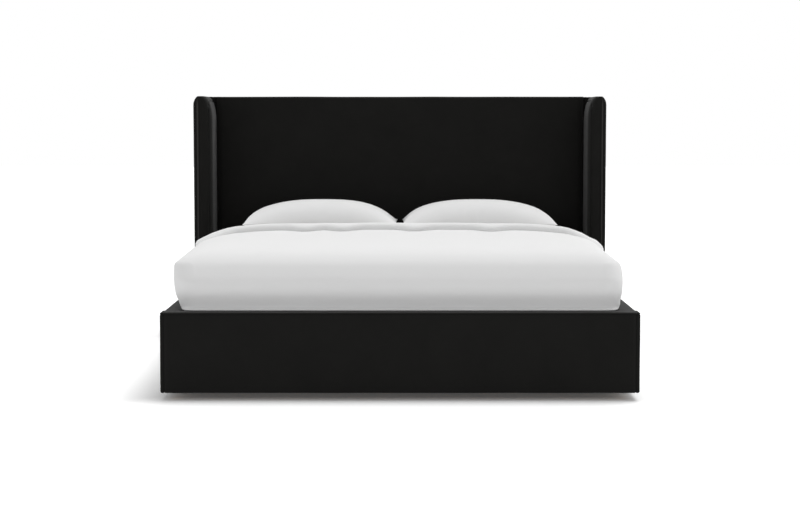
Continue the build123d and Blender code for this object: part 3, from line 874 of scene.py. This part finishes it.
# Where a rounded rim is cut, as shares of its width in from its edge.
rim_steps = [0.03, 0.12, 0.28, 0.5, 0.75, 1.0]
form = block((-duvet_hem_half, duvet_hem_foot, 0), (duvet_hem_half, duvet_high.y, 1))
round_edges(form, duvet_corner, lambda m: near(m.y, duvet_hem_foot) and near(m.z, 0.5), 8)
even_slices(form, 0, -duvet_hem_half, duvet_hem_half, duvet_step)
even_slices(form, 1, duvet_hem_foot, duvet_high.y, duvet_step)
even_slices(form, 2, 0, 1, duvet_wall_step)
# The levels near the hem lie close together, so each is given a slice of its own.
lowest = wall_levels[0][0]
slice_at(form, 2, [(row[0] - lowest) / (shoulder - lowest) for row in wall_levels[1:6]])
slice_at(form, 1, [duvet_high.y - duvet_fold * s for s in rim_steps])
hem_share = duvet_hem_fold / duvet_rise
slice_at(form, 2, [hem_share * s for s in rim_steps])
drop_faces(form, lambda c, n: near(c.z, 0, 1e-5) or near(c.y, duvet_high.y, 1e-5))
two_layers(form, duvet_unfilled, duvet_inside, lambda c: min(
    closing(duvet_high.y - c.y, duvet_fold), closing(c.z, hem_share)
))
duvet = finish_piece(form, "duvet_body", cotton)
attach(duvet, "duvet")
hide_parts("duvet")
swell(duvet, duvet_pressure, duvet_swell, lambda co: co.z < duvet_still or (
    abs(co.x) < mattress_high.x + seam_half and co.y > mattress_low.y - seam_half
    and co.z < mattress_high.z + seam_half
))

# Duvet cuff: the head end of the same duvet folded back over itself. It ends in a soft rolled lip
# with a shallow wave in it, and thins out under the pillows.
# Its thickness in the middle, how much of that is gone at the head end, its thickness at the
# shoulder and down the side, and how far in from the shoulder it grows.
cuff_rise = 0.030
cuff_fall = 0.022
cuff_shoulder_rise = 0.014
cuff_side_rise = 0.009
cuff_taper = 0.12
cuff_side_share = 0.6
# How deep its edge and its inner layer are sunk into the duvet, and how round its rim is.
cuff_sunk = 0.001
cuff_under = 0.006
cuff_edge = 0.008
# The lip's roll: its radius, its slices, over how many radii it settles, how far round it tucks
# under, and the share of that tuck between the dips.
cuff_roll = 0.032
cuff_roll_slices = 5
cuff_slices = 13
cuff_settle = 3
cuff_tuck = 0.7
cuff_slack = 0.3
# How far the lip wanders at the dips, over what length that dies out behind it, and how far it
# reaches forward down the sides, from how far out.
cuff_wave = 0.020
cuff_wave_reach = 0.12
cuff_forward = 0.090
cuff_forward_from = 0.66


def lip_curl(distance, x):
    """The rolled lip, which tucks under most at the dips: how far the cuff has risen, and how far
    back it stands from where it lay."""
    tuck = cuff_tuck * (cuff_slack + (1 - cuff_slack) * crease_dip(x))
    arc = cuff_roll * (math.pi / 2 + tuck)
    turn = (math.pi / 2 + tuck) * min(distance / arc, 1) - tuck
    rise = (math.sin(turn) + math.sin(tuck)) / (1 + math.sin(tuck))
    back = cuff_roll * (1 - math.cos(turn)) - min(distance, arc)
    return rise, back * math.exp(-max(distance - arc, 0) / cuff_roll / cuff_settle)


def cuff_place(co):
    """Where a point of the cuff lies: its lip wanders across the bed and reaches forward down the
    sides, and both die out behind it."""
    aside = max(abs(co.x) - cuff_forward_from, 0) / (duvet_hem_half - cuff_forward_from)
    forward = cuff_wave * crease_dip(co.x) + cuff_forward * aside * aside * (3 - 2 * aside)
    forward *= math.exp(-(co.y - cuff_lip) / cuff_wave_reach)
    return Vector((co.x, co.y - forward, co.z))


def cuff_lift(co):
    """The cuff's thickness: least down the side, growing from the shoulder in."""
    if not on_top(co):
        return cuff_side_rise + (cuff_shoulder_rise - cuff_side_rise) * co.z ** 3
    inset = min((duvet_hem_half - abs(co.x)) / cuff_taper, 1)
    return cuff_shoulder_rise + (cuff_rise - cuff_shoulder_rise) * math.sin(inset * math.pi / 2)


def cuff_outside(co):
    """The cuff's outer surface for a point of its own plain block."""
    rise, back = lip_curl(max(co.y - cuff_lip, 0), co.x)
    behind = max(co.y - cuff_lip - cuff_roll, 0) / (duvet_high.y - cuff_lip - cuff_roll)
    fullness = cuff_lift(co) - cuff_fall * behind * cuff_lift(co) / cuff_rise
    lift = (fullness + cuff_sunk) * rise - cuff_sunk
    here = duvet_outside(cuff_place(co)) + Vector((0, back, 0))
    if on_top(co):
        return here + Vector((0, 0, lift))
    aside = plan_direction(co.x, duvet_high.y) * lift * cuff_side_share
    return here + aside + Vector((0, 0, lift * co.z))


def cuff_inside(co):
    """The cuff's inner surface, sunk a little into the duvet so that no gap shows."""
    here = duvet_outside(cuff_place(co))
    if on_top(co):
        return here - Vector((0, 0, cuff_sunk + cuff_under))
    return here - plan_direction(co.x, duvet_high.y) * (cuff_sunk + cuff_under)


form = block((-duvet_hem_half, cuff_lip, 0), (duvet_hem_half, duvet_high.y, 1))
even_slices(form, 0, -duvet_hem_half, duvet_hem_half, duvet_step)
even_slices(form, 1, cuff_lip, duvet_high.y, duvet_step)
even_slices(form, 2, 0, 1, duvet_wall_step)
slice_at(form, 1, [cuff_lip + cuff_roll * s / cuff_roll_slices for s in range(1, cuff_slices + 1)])
slice_at(form, 1, [cuff_lip + cuff_edge * s for s in rim_steps[:3]])
slice_at(form, 1, [duvet_high.y - cuff_edge * s for s in rim_steps])
drop_faces(form, lambda c, n: (
    near(c.z, 0, 1e-5) or near(c.y, duvet_high.y, 1e-5) or near(c.y, cuff_lip, 1e-5)
))
two_layers(form, cuff_outside, cuff_inside, lambda c: min(
    closing(c.y - cuff_lip, cuff_edge),
    closing(duvet_high.y - c.y, cuff_edge),
    closing(c.z, hem_share),
))
cuff = finish_piece(form, "duvet_cuff", cotton)
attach(cuff, "duvet")

# Pillows: two cotton cases stuffed with down, knife-edged and crowned, drawn in between their
# corners and blown up as cloth. They lie loose on the mattress, each a little longer at its ends.
pillow_low, pillow_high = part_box("pillow_right")
pillow_seam = pillow_low.z + 0.055
# How far a pillow's long sides and its two ends draw in, how much longer it is at its inner and at
# its outer end, and how much lower it starts before it is blown up.
pillow_draw = 0.016
pillow_end_draws = (0.003, 0.006)
pillow_reaches = (0.004, 0.012)
pillow_sink = 0.0067
pillow_belly = 5.0
pillow_front_belly = 3
# At each pillow's inner end and at its outer end: how square its crown is, and how slowly it falls.
pillow_crowns = {"left": ((3.16, 0.98), (2.27, 0.51)), "right": ((2.79, 0.70), (2.22, 0.57))}
pillow_columns = 80
pillow_rows = 54
pillow_pressure = 4
pillow_swell = 0.006
pillow_middle = (pillow_low + pillow_high) / 2
pillow_half = (pillow_high - pillow_low) / 2
pillow_middle.x += (pillow_reaches[1] - pillow_reaches[0]) / 2
pillow_half.x += (pillow_reaches[1] + pillow_reaches[0]) / 2


def pillow_plan(co):
    """A point of a pillow's outline or inside it, drawn in between the corners."""
    end_draw = pillow_end_draws[co.x > 0] * (1 - co.y * co.y) * abs(co.x)
    return Vector((
        pillow_middle.x + co.x * (pillow_half.x - end_draw),
        pillow_middle.y + co.y * (pillow_half.y - pillow_draw * (1 - co.x * co.x) * abs(co.y)),
        pillow_seam,
    ))


def pillow_top(co, inner, outer):
    """The crown: fuller towards the bed's side, thinner towards the bed's middle."""
    slid = 0.5 + co.x / 2
    bend, power = [a + (b - a) * slid for a, b in zip(inner, outer)]
    dome_x = (1 - abs(co.x) ** bend) ** power
    dome_y = 1 - abs(co.y) ** pillow_front_belly
    crown = pillow_high.z - pillow_seam - pillow_sink
    return pillow_plan(co) + Vector((0, 0, crown * dome_x * dome_y))


def pillow_bottom(co):
    """The underside: nearly flat on the mattress, and curved up to the seam at its rim."""
    dome = (1 - abs(co.x) ** pillow_belly) * (1 - abs(co.y) ** pillow_belly)
    return pillow_plan(co) - Vector((0, 0, (pillow_seam - pillow_low.z) * dome))


for name, side in bed_sides:
    inner, outer = pillow_crowns[name]
    form = bmesh.new()
    bmesh.ops.create_grid(form, x_segments=pillow_columns, y_segments=pillow_rows, size=1)
    two_layers(form, lambda c: pillow_top(c, inner, outer), pillow_bottom, lambda c: 1)
    mirror(form, side)
    pillow = finish_piece(form, "pillow_case_" + name, cotton)
    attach(pillow, "pillow_" + name)
    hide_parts("pillow_" + name)
    swell(pillow, pillow_pressure, pillow_swell, lambda co: co.z < pillow_low.z + seam_half)

# Timber: knotless pine for the frame, birch plywood for the panels and pale beech for the slats,
# planed and screwed or bolted together. The grain runs along each member in darker streaks.
pine_light, pine_dark = (0.66, 0.47, 0.27, 1), (0.45, 0.27, 0.13, 1)
ply_light, ply_dark = (0.62, 0.46, 0.30, 1), (0.46, 0.31, 0.18, 1)
slat_light, slat_dark = (0.72, 0.54, 0.35, 1), (0.55, 0.38, 0.22, 1)
grain_width = 0.012
grain_length = 0.35
grain_depth = 0.0006


def wood_material(name, light, dark, axis):
    """Planed wood whose grain runs along one axis, a little smoother where it is light."""
    made, tree, shader = node_material(name + " " + "xyz"[axis])
    scale = [1 / grain_width] * 3
    scale[axis] = 1 / grain_length
    stretch = add_node(tree, "Mapping", {"Vector": place_node(tree), "Scale": scale})
    streaks = noise_node(tree, stretch.outputs["Vector"], 1, 6, distortion=0.7)
    tones = add_node(tree, "ValToRGB", {"Fac": streaks})
    for stop, position, colour in zip(tones.color_ramp.elements, (0.32, 0.62), (dark, light)):
        stop.position = position
        stop.color = colour
    rub = add_node(tree, "MapRange", {"Value": streaks, "To Min": 0.7, "To Max": 0.5})
    fill_in(tree, shader, {
        "Base Color": tones.outputs["Color"],
        "Roughness": rub.outputs[0],
        "Specular IOR Level": 0.3,
        "Normal": bump_node(tree, streaks, 0.4, grain_depth).outputs["Normal"],
    })
    return made


def dress(names, material):
    """Gives CAD nodes that are shown as they are a new material."""
    for name in names:
        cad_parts[name].material_slots[0].material = material


pine = [wood_material("pine", pine_light, pine_dark, axis) for axis in range(3)]
dress(["headboard_top_rail", "headboard_bottom_rail", "foot_rail_core"], pine[0])
dress(["side_rail_core_left", "side_rail_core_right", "slat_ledger_left", "slat_ledger_right",
       "centre_beam"], pine[1])
dress(["headboard_stile_left", "headboard_stile_right", "headboard_middle_stile",
       "wing_cleat_left", "wing_cleat_right"], pine[2])
dress(["headboard_face_board"], wood_material("plywood", ply_light, ply_dark, 0))
dress(["wing_core_left", "wing_core_right"], wood_material("plywood", ply_light, ply_dark, 2))
slats = sorted(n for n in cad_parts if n.startswith("slat_") and n[5:].isdigit())
dress(slats, wood_material("slat beech", slat_light, slat_dark, 0))

# Metal, plastic and rubber: powder-coated brackets, hangers and legs, zinc-plated fasteners,
# moulded feet and rubber glides, each with a fine surface of its own.
steel_colour = (0.02, 0.02, 0.02)
zinc_colour = (0.60, 0.60, 0.57)
plastic_colour = (0.015, 0.015, 0.015)
rubber_colour = (0.02, 0.02, 0.02)


def made_material(name, colour, roughness, metallic, speck, depth, uneven=0.15):
    """A manufactured surface: specks of a given size, slightly uneven in tone and in polish."""
    made, tree, shader = node_material(name)
    grain = noise_node(tree, place_node(tree), 1 / speck, 3)
    dark = [c * (1 - uneven) for c in colour] + [1]
    light = [min(c * (1 + uneven), 1) for c in colour] + [1]
    polish = add_node(tree, "MapRange", {
        "Value": grain, "To Min": roughness * (1 - uneven), "To Max": roughness * (1 + uneven),
    })
    fill_in(tree, shader, {
        "Base Color": mix_node(tree, grain, dark, light),
        "Roughness": polish.outputs[0],
        "Metallic": metallic,
        "Normal": bump_node(tree, grain, 0.5, depth).outputs["Normal"],
    })
    return made


black_steel = made_material("black steel", steel_colour, roughness=0.45, metallic=0,
                            speck=0.0012, depth=0.0002)
zinc_steel = made_material("zinc steel", zinc_colour, roughness=0.35, metallic=1,
                           speck=0.004, depth=0.0001)
black_plastic = made_material("black plastic", plastic_colour, roughness=0.6, metallic=0,
                              speck=0.0008, depth=0.0001)
rubber = made_material("rubber", rubber_colour, roughness=0.85, metallic=0,
                       speck=0.002, depth=0.0003)
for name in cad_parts:
    if name.startswith(("corner_bracket", "beam_hanger", "centre_leg")):
        dress([name], black_steel)
    if name.startswith(("rail_foot", "headboard_foot")):
        dress([name], black_plastic)
dress(["connector_bolts", "threaded_inserts", "wood_screws"], zinc_steel)
dress(["leg_glides"], rubber)
